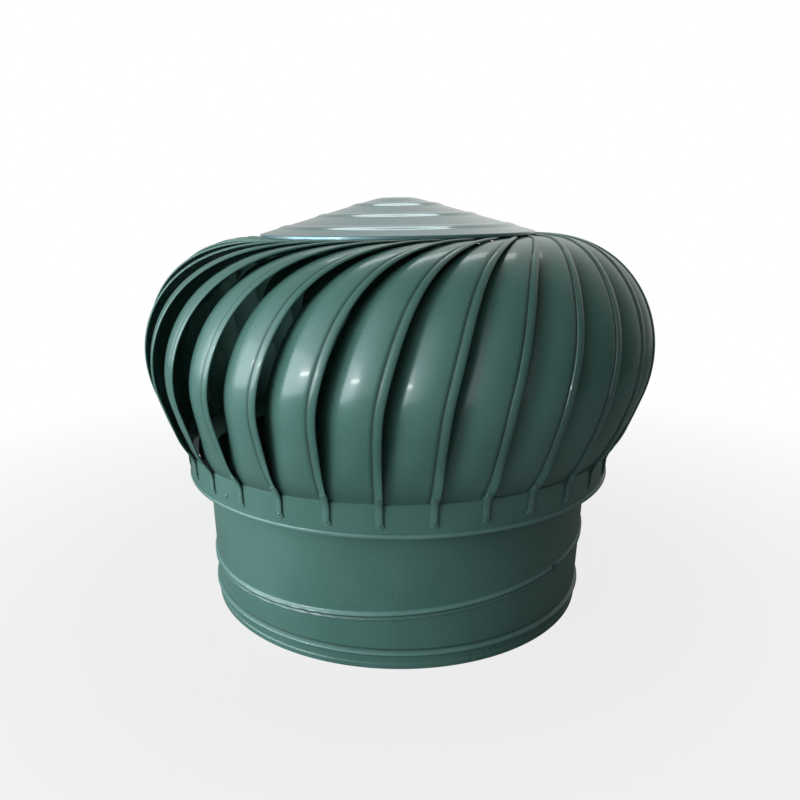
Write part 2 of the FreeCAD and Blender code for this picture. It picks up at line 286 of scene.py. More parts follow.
platedSteelLook = {
    "base": (0.52, 0.53, 0.53),
    "dark": (0.3, 0.3, 0.29),
    "darkStain": 0.6,
    "darkBrush": 0.2,
    "roughness": (0.28, 0.5),
    "stretch": (900, 900, 40),
    "brush": (1.0, 3.0, 0.6),
    "brushHeight": 0.00003,
    "brushStrength": 0.5,
    "stain": (40.0, 5.0, 0.6),
    "stainSpan": (0.4, 0.7),
}
bearingSteelLook = dict(platedSteelLook, base=(0.66, 0.66, 0.67), roughness=(0.12, 0.3))


def makeSteel(name, look):
    # Plated steel: fine lengthways brushing from stretched noise, slow stains, both in colour and roughness.
    r = Recipe(bpy.data.materials.new(name))
    where = r.place()
    stretched = r.node("ShaderNodeMapping", None, {"Vector": where, "Scale": look["stretch"]})
    brush = r.noise(stretched, *look["brush"])
    stain = r.noise(where, *look["stain"]).within(*look["stainSpan"])
    colour = r.blend(stain * look["darkStain"] + brush * look["darkBrush"], look["base"], look["dark"])
    low, high = look["roughness"]
    rough = low + (high - low) * (0.5 * stain + 0.5 * brush)
    normal = r.bump(brush, look["brushHeight"], look["brushStrength"])
    return r.surface(Base_Color=colour, Roughness=rough, Normal=normal, Metallic=1.0)


greenPaint = makeGreenPaint("greenPaint", greenPaintLook)
capPaint = makeGreenPaint("capPaint", capPaintLook)
framePaint = makeGreenPaint("framePaint", framePaintLook)
platedSteel = makeSteel("platedSteel", platedSteelLook)
bearingSteel = makeSteel("bearingSteel", bearingSteelLook)
rivetPaint = makeGreenPaint("rivetPaint", rivetPaintLook)
print("materials made")


# Rows are given as start, end and number, other pairs as start and end. Painted shade and crest values are half
# widths.
throat = {
    "radius": 0.304,
    "sheet": 0.001,
    "rows": ((0, 0.036, 46), (0.038, 0.15, 92), (0.154, 0.233, 20)),
    "turns": 300,
    "hemHeight": 0.009,
    "hemRise": 0.0014,
    "hemPower": 6,
    "beadRise": 0.0045,
    "beadHalf": 0.0075,
    "beadPower": 0.7,
    "beadValley": 0.0026,
    "valleyHalf": 0.0035,
    "slantBead": 0.099,
    "slantAngle": 5.0,
    "slantAzimuth": 30.0,
    "lowBead": 0.025,
    "lowHalf": 0.0058,
    "creaseDepth": 0.0012,
    "creaseHalf": 0.002,
    "seamAzimuth": -45.0,
    "gapStart": (-0.002, 0.003),
    "gapEnd": (0.006, 0.012),
    "lapRise": 0.001,
    "lapStart": (-0.0008, 0.0),
    "lapEnd": (0.034, 0.0365),
    "lapAbove": (0.012, 0.014),
    "valleyShade": 0.0021,
    "creaseShade": 0.0024,
    "gapShade": 0.012,
    "shoulder": 0.0048,
    "shoulderCrest": 0.0042,
    "lowCrest": 0.0055,
}


def slantHeight(azimuth):
    # The slanting bead lies in a plane: height = middle + R tan(angle) cos(azimuth - highest azimuth).
    rise = throat["radius"] * math.tan(math.radians(throat["slantAngle"]))
    return throat["slantBead"] + rise * np.cos(azimuth - math.radians(throat["slantAzimuth"]))


def makeThroat():
    # Radius over (azimuth, height): R + level bead + slanting bead with a gap at the seam + lap + hem.
    t = throat
    a = ringOfTurn(t["turns"])[:, None]
    z = np.concatenate([np.linspace(*row) for row in t["rows"]])[None, :]
    turn = (a - math.radians(t["seamAzimuth"]) + np.pi) % (2 * np.pi) - np.pi
    along = turn * t["radius"]
    gap = smoothStep(along, *t["gapStart"]) * (1 - smoothStep(along, *t["gapEnd"]))
    middle = slantHeight(a)
    off = z - middle
    ridge = t["beadRise"] * bump(off, t["beadHalf"]) ** t["beadPower"]
    slant = (ridge - t["beadValley"] * bump(off, t["valleyHalf"])) * (1 - gap)
    crease = z - t["lowBead"] - t["lowHalf"]
    level = t["beadRise"] * bump(z - t["lowBead"], t["lowHalf"])
    level = level - t["creaseDepth"] * bump(crease, t["creaseHalf"])
    above = smoothStep(z, *(middle + edge for edge in t["lapAbove"]))
    lap = t["lapRise"] * above * smoothStep(along, *t["lapStart"]) * (1 - smoothStep(along, *t["lapEnd"]))
    rolled = np.sqrt(np.clip(1 - (z / t["hemHeight"] * 2 - 1) ** t["hemPower"], 0, 1))
    hem = t["hemRise"] * np.where(z < t["hemHeight"], rolled, 0)
    outer = t["radius"] + level + slant + lap + hem
    inner = t["radius"] - t["sheet"] + level + np.where(gap > 0, 0, slant)
    ring = np.concatenate([outer, inner[:, ::-1]], 1)
    heights = np.broadcast_to(np.concatenate([z, z[:, ::-1]], 1), ring.shape)
    grid = np.stack([ring * np.cos(a), ring * np.sin(a), heights], -1)
    # The bead's valley, the crease over the low bead and the bead's gap at the seam are darkened as painted
    # shade; the bead's shoulders and the low bead are lightened as worn paint and painted highlight.
    paintedShade = bump(off, t["valleyShade"]) * (1 - gap) + bump(crease, t["creaseShade"])
    paintedShade = paintedShade + gap * bump(off, t["gapShade"])
    crest = bump(np.abs(off) - t["shoulder"], t["shoulderCrest"]) * (1 - gap)
    crest = crest + bump(z - t["lowBead"], t["lowCrest"])
    plain = np.zeros_like(inner)
    uv = np.stack([np.concatenate([np.clip(layer, 0, 1), plain], 1) for layer in (paintedShade, crest)], -1)
    piece = Piece("throatSheet")
    faces = gridFaces(*grid.shape[:2], closeRows=True, closeColumns=True)[:, ::-1]
    piece.add(grid, [faces], uv)
    piece.finish(greenPaint, "neck", ["neck_tube"])


makeThroat()
print("throat made")


skirt = {
    "inner": 0.3305,
    "sheet": 0.001,
    "bottom": 0.211,
    "top": 0.257,
    "turns": 360,
    "lipHeight": 0.007,
    "lipRise": 0.0026,
    "lipPower": 0.8,
    "lipRows": 15,
    "wallStart": 0.001,
    "wallRows": 14,
    "roundDown": 0.0004,
    "roundIn": 0.0003,
    "backMiddle": 0.23,
    "backStart": 0.0006,
}


def makeSkirt():
    # A straight band whose lower edge is rolled: a half ellipse lipRise proud over lipHeight.
    s = skirt
    outside = s["inner"] + s["sheet"]
    t = np.linspace(-np.pi / 2, np.pi / 2, s["lipRows"])
    lipR = outside + s["lipRise"] * np.cos(t) ** s["lipPower"]
    lipZ = s["bottom"] + s["lipHeight"] * (0.5 + 0.5 * np.sin(t))
    wall = np.linspace(s["bottom"] + s["lipHeight"] + s["wallStart"], s["top"] - s["roundDown"], s["wallRows"])
    topR = [outside - s["roundIn"], s["inner"] + s["roundIn"]]
    back = [s["top"] - s["roundDown"], s["backMiddle"], s["bottom"] + s["backStart"]]
    radii = np.concatenate([lipR, np.full(len(wall), outside), topR, np.full(len(back), s["inner"])])
    heights = np.concatenate([lipZ, wall, [s["top"], s["top"]], back])
    grid = turnedGrid(radii, heights, ringOfTurn(s["turns"]))
    # The rolled lip's crest is lightened as worn paint and painted highlight.
    crest = np.concatenate([np.cos(t) ** 2, np.zeros(len(radii) - len(t))])
    crest = np.broadcast_to(crest, grid.shape[:2])
    piece = Piece("skirtBand")
    faces = gridFaces(*grid.shape[:2], closeRows=True, closeColumns=True)[:, ::-1]
    piece.add(grid, [faces], np.stack([np.zeros_like(crest), crest], -1))
    piece.finish(greenPaint, "rotor", ["skirt_ring"])


makeSkirt()
print("skirt made")


# Shares across a blade run from 1 at its free edge to 0 where it meets the next blade, and below 0 behind it.
# The section's points go round from the upper side over the groove and the rolled hem to the under side.
# The first of them, up to a given count, take painted shade and pale crests of worn paint and painted
# highlight.
# The tab's section has its crowned side first, with tabCrown points, and then its flat back.
blade = {
    "count": 31,
    "first": -2.6,
    "lap": 2.5,
    "sheet": 0.001,
    "stations": 84,
    "depth": 0.044,
    "topDepth": 0.007,
    "footClear": 0.0003,
    "depthSkew": 0.75,
    "depthTaper": 1.8,
    "closeShare": 0.55,
    "closeStart": 0.13,
    "closeEnd": 0.02,
    "tuckShare": 0.45,
    "tuckStart": 0.002,
    "tuckEnd": 0.007,
    "rotorRadius": 0.378,
    "bulgeRadius": 0.160,
    "bulgeHeight": 0.394,
    "footSlope": 17.0,
    "footHeight": 0.258,
    "footBend": 0.038,
    "footPull": 0.009,
    "topRun": 0.015,
    "underCap": 0.012,
    "curlPower": 2.6,
    "curlEnd": 0.15,
    "kickPower": 9.0,
    "kickLength": 0.07,
    "footLap": 0.44,
    "footLapLength": 0.12,
    "footLapDepth": 0.004,
    "topLap": 0.75,
    "topLapLength": 0.17,
    "topLapFull": 0.3,
    "topLapDepth": 0.006,
    "behindSpan": 0.3,
    "sweepLead": 0.012,
    "sweepSlope": 12.5,
    "sweepCurl": 30.0,
    "sweepPower": 4,
    "sweepBlend": 0.109,
    "upperPoints": 24,
    "underPoints": 30,
    "underStart": 0.0006,
    "hemWidth": 0.010,
    "hemRise": 0.0018,
    "hemTopAngles": (20, 38, 60, 90, 120, 144, 163, 177),
    "hemTopPower": 0.75,
    "hemUnderAngles": (183, 197, 216, 240, 262),
    "hemUnderPower": 0.55,
    "grooveWidth": 0.0036,
    "grooveDepth": 0.0009,
    "groovePlaces": (0.68, 0.38, 0.12),
    "grooveLifts": (0.55, 1.0, 0.7),
    "markedPoints": 29,
    "grooveShadeMiddle": 0.2,
    "grooveShadeHalf": 0.0034,
    "shadeShare": 0.5,
    "shadeLength": 0.03,
    "shadePower": 1.5,
    "crestMiddle": 0.45,
    "crestHalf": 0.0032,
    "crestShare": 0.8,
    "apronRows": 6,
    "apronEnd": 0.15,
    "apronClear": 0.0001,
    "apronShade": 0.6,
    "apronShadeHalf": 0.004,
    "tongueDrop": 0.010,
    "seatDrop": 0.0014,
    "tabStations": 40,
    "tabPasses": 4,
    "tabRoots": ((0.012, 0.0012), (0.002, 0.0004)),
    "tabBend": (0.0005, 0.252),
    "tabSeat": 0.246,
    "tabEnd": 0.2248,
    "tabRootWidth": 0.0096,
    "tabWidth": 0.0106,
    "tabWiden": (0.2, 0.4),
    "tabSpread": 0.0034,
    "tabSpreadPlace": 0.003,
    "tabSpreadHalf": 0.005,
    "tabRound": 0.003,
    "tabRoundMost": 0.96,
    "tabThin": 0.45,
    "tabThinStart": 0.010,
    "tabThinSpan": 0.006,
    "tabThinSeat": 0.012,
    "tabCrown": 9,
    "tabSides": (-1, -0.97, -0.84, -0.45, 0, 0.45, 0.84, 0.97, 1, 1, 0.96, 0.4, -0.4, -0.96, -1, -1),
    "tabRises": (0, 0.5, 0.82, 1.02, 1.08, 1.02, 0.82, 0.5, 0, -0.6, -1, -1, -1, -1, -0.6, -0.3),
    "tabShadeSpan": (0.8, 0.99),
    "tabShadeFade": (0.1, 0.3),
    "tabWearAndHighlightSpan": (0.2, 0.7),
    "tabWearAndHighlight": 0.6,
}


def edgeFrame(length):
    # Free edge in the (radius, height) plane: straight foot, arc of the bulge, flat run under the cap.
    # Over the last footBend it is drawn in to the skirt by footPull, growing with the square.
    b = blade
    angle = np.clip(length / b["bulgeRadius"], -math.radians(b["footSlope"]), np.pi / 2)
    straight = length - angle * b["bulgeRadius"]
    centre = b["rotorRadius"] - b["bulgeRadius"]
    radius = centre + b["bulgeRadius"] * np.cos(angle) - straight * np.sin(angle)
    height = b["bulgeHeight"] + b["bulgeRadius"] * np.sin(angle) + straight * np.cos(angle)
    low = np.clip(1 - (height - b["footHeight"]) / b["footBend"], 0, 1)
    return radius - b["footPull"] * low ** 2, height, angle


def edgeEnds():
    # The free edge's length is measured from the widest place of the bulge: below 0 at the foot.
    b = blade
    slope = math.radians(b["footSlope"])
    drop = b["bulgeHeight"] - b["bulgeRadius"] * math.sin(slope) - b["footHeight"]
    return -b["bulgeRadius"] * slope - drop / math.cos(slope), b["bulgeRadius"] * math.pi / 2 + b["topRun"]


def sweep(length):
    # Azimuth of the free edge: a steady slope that eases in at the waist, plus a curl that grows with a power.
    b = blade
    lead, top = b["sweepLead"], edgeEnds()[1]
    share = (length + lead) / (top + lead)
    eased = (share + np.hypot(share, b["sweepBlend"])) / 2
    return b["sweepSlope"] * eased + b["sweepCurl"] * np.maximum(share, 0) ** b["sweepPower"]


def sheetDepth(length):
    # How far the inner edge lies behind the free edge: small at both ends, deepest in the belly.
    # It closes on the next blade towards the cap, and tucks in fully under the cap's rim.
    b = blade
    foot, top = edgeEnds()
    radius, _, angle = edgeFrame(np.float64(foot))
    footDepth = (radius - skirt["inner"] + b["footClear"]) / np.cos(angle)
    share = np.clip((length - foot) / (top - foot), 0, 1)
    ends = footDepth * (1 - share) + b["topDepth"] * share
    belly = np.maximum(np.sin(np.pi * share ** b["depthSkew"]), 0) ** b["depthTaper"]
    closing = b["closeShare"] * smoothStep(length, top - b["closeStart"], top - b["closeEnd"])
    tucking = b["tuckShare"] * smoothStep(length, top - b["tuckStart"], top + b["tuckEnd"])
    return (ends + (b["depth"] - ends) * belly) * (1 - closing - tucking)


def footShare(length):
    # 1 at the foot, 0 from footLapLength on.
    return np.clip(1 - (length - edgeEnds()[0]) / blade["footLapLength"], 0, 1)


def topShare(length):
    # 0 up to topLapLength before the top, 1 in the last topLapFull of that length.
    b = blade
    top = edgeEnds()[1]
    return smoothStep(length, top - b["topLapLength"], top - b["topLapFull"] * b["topLapLength"])


def bladePoints(length, across, lift):
    # Point = free edge pushed in along its normal by depth * curl, turned back by the share across.
    # Where the sheet runs on behind its neighbour it lies deeper, so that the two stay clear.
    b = blade
    foot, _ = edgeEnds()
    radius, height, angle = edgeFrame(length)
    kick = np.clip(1 - (length - foot) / b["kickLength"], 0, 1) ** 2
    curled = (1 - np.maximum(across, -b["curlEnd"])) ** b["curlPower"]
    kicked = 1 - np.maximum(across, 0) ** b["kickPower"]
    curl = (1 - kick) * curled + kick * kicked
    deeper = topShare(length) * b["topLapDepth"] + footShare(length) * b["footLapDepth"]
    behind = deeper * np.clip((b["curlEnd"] - across) / b["behindSpan"], 0, 1)
    inset = sheetDepth(length) * curl + behind - lift
    radius = radius - inset * np.cos(angle)
    height = height - inset * np.sin(angle) * (1 - kick)
    azimuth = np.radians(sweep(length) - (360 / b["count"] + b["lap"]) * (1 - across) + b["first"])
    return np.stack([radius * np.cos(azimuth), radius * np.sin(azimuth), height], -1)


def sectionRing(arc):
    # Ring round the sheet as (distance from the free edge, lift): upper side, groove, rolled hem, under side.
    b = blade
    half = b["hemWidth"] / 2
    centre, tall = (b["hemRise"] - b["sheet"]) / 2, (b["hemRise"] + b["sheet"]) / 2
    hemStart = b["hemWidth"] + b["grooveWidth"]
    upper = hemStart + np.linspace(1, 0, b["upperPoints"])[None, :] * (arc - hemStart)
    groove = np.array(b["groovePlaces"]) * b["grooveWidth"] + b["hemWidth"]
    grooveLift = -b["grooveDepth"] * np.array(b["grooveLifts"])
    over, below = np.radians(b["hemTopAngles"]), np.radians(b["hemUnderAngles"])
    hemTopLift = centre + tall * np.abs(np.sin(over)) ** b["hemTopPower"]
    hemUnderLift = centre - tall * np.abs(np.sin(below)) ** b["hemUnderPower"]
    fixed = np.concatenate([groove, half + half * np.cos(over), half + half * np.cos(below)])
    fixed = np.broadcast_to(fixed, (len(arc), len(fixed)))
    run = np.linspace(0, 1, b["underPoints"])[None, :]
    under = half + b["underStart"] + run * (arc - half - b["underStart"])
    distance = np.concatenate([upper, fixed, under], 1)
    lift = np.concatenate([np.zeros(b["upperPoints"]), grooveLift, hemTopLift, hemUnderLift,
                           np.full(b["underPoints"], -b["sheet"])])
    return distance, np.broadcast_to(lift, distance.shape)


def apronPoints(ring):
    # Below the foot the sheet goes straight down: inside the skirt as a tongue, elsewhere onto its top edge.
    b = blade
    radius = np.hypot(ring[:, 0], ring[:, 1])
    inside = radius < skirt["inner"] - b["apronClear"]
    drop = np.where(inside, b["tongueDrop"], b["seatDrop"])
    rings = np.repeat(ring[None], b["apronRows"], 0)
    rings[..., 2] -= np.linspace(1, b["apronEnd"], b["apronRows"])[:, None] * drop
    # The apron is darkened as painted shade where it passes the skirt's wall.
    return rings, bump(radius - skirt["inner"], b["apronShadeHalf"]) * b["apronShade"]


def bladeGrid():
    b = blade
    foot, top = edgeEnds()
    t = np.linspace(0, 1, b["stations"])
    length = (foot + (top + b["underCap"] - foot) * t)[:, None]
    arc = math.radians(360 / b["count"] + b["lap"]) * edgeFrame(length)[0]
    hidden = b["footLap"] * footShare(length) + b["topLap"] * topShare(length)
    distance, lift = sectionRing(arc * (1 + hidden))
    points = bladePoints(length, 1 - distance / arc, lift)
    # Only the upper side's points take the groove's painted shade and the hem's pale crest, which is worn paint
    # and painted highlight.
    wearAndHighlight = np.where(np.arange(distance.shape[1]) < b["markedPoints"], 1, 0)
    paintedShade = bump(distance - b["hemWidth"] - b["grooveShadeMiddle"] * b["grooveWidth"], b["grooveShadeHalf"]) * wearAndHighlight
    # The sheet just above its foot is darkened as painted shade.
    shade = np.clip(1 - (length - foot) / b["shadeLength"], 0, 1) ** b["shadePower"]
    paintedShade = np.clip(paintedShade + b["shadeShare"] * shade * (distance > b["hemWidth"]), 0, 1)
    crest = bump(distance - b["crestMiddle"] * b["hemWidth"], b["crestHalf"]) * wearAndHighlight * b["crestShare"]
    apron, edge = apronPoints(points[0])
    paintedShade = np.concatenate([np.repeat(edge[None], len(apron), 0), paintedShade])
    crest = np.concatenate([np.zeros((len(apron), crest.shape[1])), crest])
    return np.concatenate([apron, points]), np.stack([paintedShade, crest], -1)


def stripGrid(path, normals, width, thick, azimuth):
    # A crowned strip along a (radius, height) path, with a width and a thickness for each station.
    rise = np.array(blade["tabRises"]) / 2
    r = path[:, 0:1] + normals[:, 0:1] * rise * thick[:, None]
    z = path[:, 1:2] + normals[:, 1:2] * rise * thick[:, None]
    y = -width[:, None] / 2 * np.array(blade["tabSides"])
    a = math.radians(azimuth)
    x = np.sqrt(np.maximum(r ** 2 - y ** 2, 0))
    return np.stack([x * math.cos(a) - y * math.sin(a), x * math.sin(a) + y * math.cos(a), z], -1)


def smoothPath(points, count, passes):
    # Even steps along a polyline, rounded by averaging neighbours a few times, and the normal at each.
    points = np.asarray(points, float)
    steps = np.concatenate([[0], np.cumsum(np.linalg.norm(np.diff(points, axis=0), axis=1))])
    s = np.linspace(0, steps[-1], count)
    path = np.stack([np.interp(s, steps, points[:, k]) for k in range(2)], -1)
    for _ in range(passes):
        path[1:-1] = (path[:-2] + 2 * path[1:-1] + path[2:]) / 4
    tangent = np.gradient(path, axis=0)
    tangent /= np.linalg.norm(tangent, axis=1, keepdims=True)
    return path, np.stack([-tangent[:, 1], tangent[:, 0]], -1)


def tabAzimuth():
    # The tab goes on from the middle of the hem at the foot.
    b = blade
    foot = np.float64(edgeEnds()[0])
    return float(sweep(foot)) - math.degrees(b["hemWidth"] / 2 / edgeFrame(foot)[0]) + b["first"]


def tabPath(thick):
    # Out of the hem, over the skirt's top edge and down its outside.
    b = blade
    foot, _ = edgeEnds()
    points = []
    for above, sink in b["tabRoots"]:
        radius, height, angle = (float(v) for v in edgeFrame(np.float64(foot + above)))
        lift = b["hemRise"] - thick / 2 - sink
        points.append((radius + lift * math.cos(angle), height + lift * math.sin(angle)))
    outside = skirt["inner"] + skirt["sheet"] + thick / 2
    proud, bend = b["tabBend"]
    points += [(outside + proud, bend), (outside, b["tabSeat"]), (outside, b["tabEnd"])]
    return smoothPath(points, b["tabStations"], b["tabPasses"])


def footTab():
    # The hem runs on down the outside of the skirt as a tab: spread, thinner and rounded at its end.
    b = blade
    thick = b["hemRise"] + b["sheet"]
    path, normals = tabPath(thick)
    down = np.linspace(0, 1, b["tabStations"])
    fromEnd = path[:, 1] - b["tabEnd"]
    spread = bump(fromEnd - b["tabSpreadPlace"], b["tabSpreadHalf"])
    widening = (b["tabWidth"] - b["tabRootWidth"]) * smoothStep(down, *b["tabWiden"])
    width = b["tabRootWidth"] + widening + b["tabSpread"] * spread
    width = width * np.sqrt(np.clip(1 - (1 - fromEnd / b["tabRound"]).clip(0, b["tabRoundMost"]) ** 2, 0, 1))
    thickness = thick * (1 - b["tabThin"] * smoothStep(b["tabThinStart"] - fromEnd, 0, b["tabThinSpan"]))
    path[:, 0] -= (thick - thickness) / 2 * (fromEnd < b["tabThinSeat"])
    sides = np.array(b["tabSides"])
    share = np.where(np.arange(len(sides)) < b["tabCrown"], np.abs(sides), 1)[None, :]
    # The tab's side edges are darkened as painted shade, fading out towards its root; its crown is lightened as
    # worn paint and painted highlight.
    paintedShade = smoothStep(share, *b["tabShadeSpan"]) * smoothStep(down, *b["tabShadeFade"])[:, None]
    wearAndHighlight = np.broadcast_to((1 - smoothStep(share, *b["tabWearAndHighlightSpan"])) * b["tabWearAndHighlight"], paintedShade.shape)
    return stripGrid(path, normals, width, thickness, tabAzimuth()), np.stack([paintedShade, wearAndHighlight], -1)


def turnAbout(points, degrees):
    a = math.radians(degrees)
    turn = np.array([[math.cos(a), math.sin(a), 0], [-math.sin(a), math.cos(a), 0], [0, 0, 1]])
    return points @ turn


def makeBlades():
    sheet, sheetUv = bladeGrid()
    tab, tabUv = footTab()
    for i in range(blade["count"]):
        degrees = 360 / blade["count"] * i
        piece = Piece("bladeSheet%02d" % (i + 1))
        piece.addLoops(turnAbout(sheet, degrees), sheetUv)
        piece.addLoops(turnAbout(tab, degrees), tabUv)
        piece.finish(greenPaint, "rotor", ["blade_%02d" % (i + 1)], sharp=40)


makeBlades()
print("blades made:", blade["count"])


cap = {
    "radius": 0.201,
    "rim": 0.5597,
    "slope": 15.0,
    "flat": 0.025,
    "ease": 0.006,
    "sheet": 0.001,
    "underShare": 1.03,
    "lip": 0.004,
    "lipInsets": (0, 0, 0.0005, 0.001),
    "lipHeights": (0.0015, 0.0004, 0, 0.0002),
    "bend": 0.002,
    "bendRows": 7,
    "bendGap": 0.0022,
    "ridges": (0.060, 0.111, 0.167),
    "ridgeHalf": 0.0115,
    "ridgeRise": 0.0014,
    "poleGap": 0.0015,
    "upperRows": 190,
    "underRows": 120,
    "underGap": 0.0004,
    "turns": 300,
}


def capHeight(radius):
    # A cone that eases into a flat middle, with ridges as raised cosines.
    c = cap
    beyond = radius - c["flat"]
    over = (beyond + np.hypot(beyond, c["ease"])) / 2
    height = c["rim"] + (c["radius"] - c["flat"] - over) * math.tan(math.radians(c["slope"]))
    for middle in c["ridges"]:
        height = height + c["ridgeRise"] * bump(radius - middle, c["ridgeHalf"])
    return height


def makeCap():
    # Upper face out to the rim, rounded over into a short lip, and back under it.
    c = cap
    below = c["sheet"] * c["underShare"]
    out = np.linspace(c["poleGap"], c["radius"] - c["bendGap"], c["upperRows"])
    t = np.linspace(0, np.pi / 2, c["bendRows"])
    bendR = c["radius"] - c["bend"] + c["bend"] * np.sin(t)
    bendZ = capHeight(np.float64(c["radius"] - c["bend"])) - c["bend"] * (1 - np.cos(t))
    lipR = c["radius"] - np.array(c["lipInsets"])
    lipZ = c["rim"] - c["lip"] + np.array(c["lipHeights"])
    back = np.linspace(c["radius"] - c["sheet"] - c["underGap"], c["poleGap"], c["underRows"])
    radii = np.concatenate([out, bendR, lipR, back])
    heights = np.concatenate([capHeight(out), bendZ, lipZ, capHeight(back) - below])
    grid = turnedGrid(radii, heights, ringOfTurn(c["turns"]))
    rows, columns = grid.shape[:2]
    middle = capHeight(np.float64(0))
    poles = np.array([[0, 0, middle], [0, 0, middle - below]])
    piece = Piece("capSheet")
    faces = [gridFaces(rows, columns, closeRows=True), *poleFans(rows, columns)]
    piece.add(np.concatenate([grid.reshape(-1, 3), poles]), faces)
    piece.finish(capPaint, "rotor", ["top_cap"])


makeCap()
print("cap made")


rivet = {
    "segments": 10,
    "rings": 4,
    "firstRing": 0.12,
    "backRadius": 0.98,
    "backDepth": 0.6,
    "sideHint": (0.3, 0.2, 0.93),
    "footRadius": 0.0026,
    "footRise": 0.0011,
    "footHeight": 0.2302,
    "footSeat": 0.58,
    "armCount": 4,
    "armAzimuth": 43,
    "armRadius": 0.0042,
    "armRise": 0.0018,
    "armHeight": 0.231,
}


def domeGrid(radius, rise):
    # Rivet head: a flattened dome on the local +Z, closed by its own flat back.
    t = np.linspace(rivet["firstRing"], 1, rivet["rings"])
    r = np.append(np.sin(t * np.pi / 2) * radius, radius * rivet["backRadius"])
    z = np.append(np.cos(t * np.pi / 2) * rise, -rise * rivet["backDepth"])
    return turnedGrid(r, z, ringOfTurn(rivet["segments"]))


def addDome(piece, distance, azimuth, height, radius, rise):
    # The dome stands on the local +Z, which is turned to point away from the rotor's axis.
    a = math.radians(azimuth)
    outward = np.array([math.cos(a), math.sin(a), 0.0])
    centre = np.array([distance * math.cos(a), distance * math.sin(a), height])
    grid = domeGrid(radius, rise)
    side = np.cross(rivet["sideHint"], outward)
    side /= np.linalg.norm(side)
    axes = np.stack([side, np.cross(outward, side), outward])
    placed = grid.reshape(-1, 3) @ axes + centre
    rows, columns = grid.shape[:2]
    poles = np.stack([centre + outward * rise, centre - outward * rise * rivet["backDepth"]])
    faces = [gridFaces(rows, columns, closeRows=True), *poleFans(rows, columns)]
    piece.add(np.concatenate([placed, poles]), faces)


def makeRivets():
    # One head on each foot tab, and one where each arm of the rotor's cross meets the skirt.
    v = rivet
    feet = Piece("footRivets")
    first = tabAzimuth()
    outside = skirt["inner"] + skirt["sheet"]
    onTab = outside + (blade["hemRise"] + blade["sheet"]) * v["footSeat"]
    for i in range(blade["count"]):
        addDome(feet, onTab, first + 360 / blade["count"] * i, v["footHeight"], v["footRadius"], v["footRise"])
    feet.finish(greenPaint, "rotor")
    arms = Piece("armRivets")
    for i in range(v["armCount"]):
        azimuth = v["armAzimuth"] + 360 / v["armCount"] * i
        addDome(arms, outside, azimuth, v["armHeight"], v["armRadius"], v["armRise"])
    arms.finish(rivetPaint, "rotor")


makeRivets()
print("rivets made")


finishes = {
    "top_ring": greenPaint,
    "upper_hub": greenPaint,
    "rotor_spider": framePaint,
    "lower_support": framePaint,
    "upper_support": framePaint,
    "shaft": platedSteel,
    "spacer_tube": platedSteel,
    "shaft_nut": platedSteel,
    "lock_nut": platedSteel,
    "lower_inner_ring": bearingSteel,
    "upper_inner_ring": bearingSteel,
    "lower_outer_ring": bearingSteel,
    "upper_outer_ring": bearingSteel,
}


def dressKept():
    for name, material in finishes.items():
        slots = nodes[name].data.materials
        slots.clear()
        slots.append(material)


dressKept()
print("kept pieces dressed")


# A lobe is its direction, the power of the cosine to it and its strength.
# A lamp is its place, what it looks at, its width and height, its power and its colour.
studio = {
    "floorSize": 9.0,
    "floorColours": ((0.27, 0.28, 0.28), (0.25, 0.26, 0.26)),
    "floorGrain": (60.0, 3.0, 0.5),
    "floorNear": 0.45,
    "floorFar": 1.5,
    "floorWhite": 0.82,
    "floorWhiter": 0.18,
    "ambient": 0.022,
    "coolColour": (0.8, 0.94, 1.0),
    "evenColour": (0.94, 0.98, 0.94),
    "sideLobe": ((-1, -0.38, 0.08), 3.7, 3.6),
    "rightLobe": ((0.8, 0.25, 0.55), 4.0, 0.1),
    "topLobe": ((-0.3, -0.4, 0.87), 2.0, 0.08),
    "frontLobe": ((0.1, -1, 0.15), 2.0, 0.03),
    "farLobe": ((0.32, 0.9, 0.28), 3.0, 0.7),
    "lamps": {
        "keyPanel": ((-3.35, -1.0, 0.6), (0, 0, 0.3), (3.4, 2.6), 64.0, (0.82, 0.94, 1.0)),
        "stripPanel": ((0, 2.0, 2.67), (0, 0, 0.58), (1.5, 0.5), 5.6, (0.93, 0.98, 1.0)),
        "windowPanel": ((-2.0, -1.65, 0.85), (0, 0, 0.4), (0.7, 0.14), 7.5, (1, 1, 1)),
    },
}


def addLamp(name, place, target, size, power, colour):
    lamp = bpy.data.lights.new(name, "AREA")
    lamp.shape = "RECTANGLE"
    lamp.size, lamp.size_y = size
    lamp.energy = power
    lamp.color = colour
    made = bpy.data.objects.new(name, lamp)
    bpy.context.scene.collection.objects.link(made)
    aim = Vector(target) - Vector(place)
    made.location = place
    made.rotation_euler = aim.to_track_quat("-Z", "Y").to_euler()


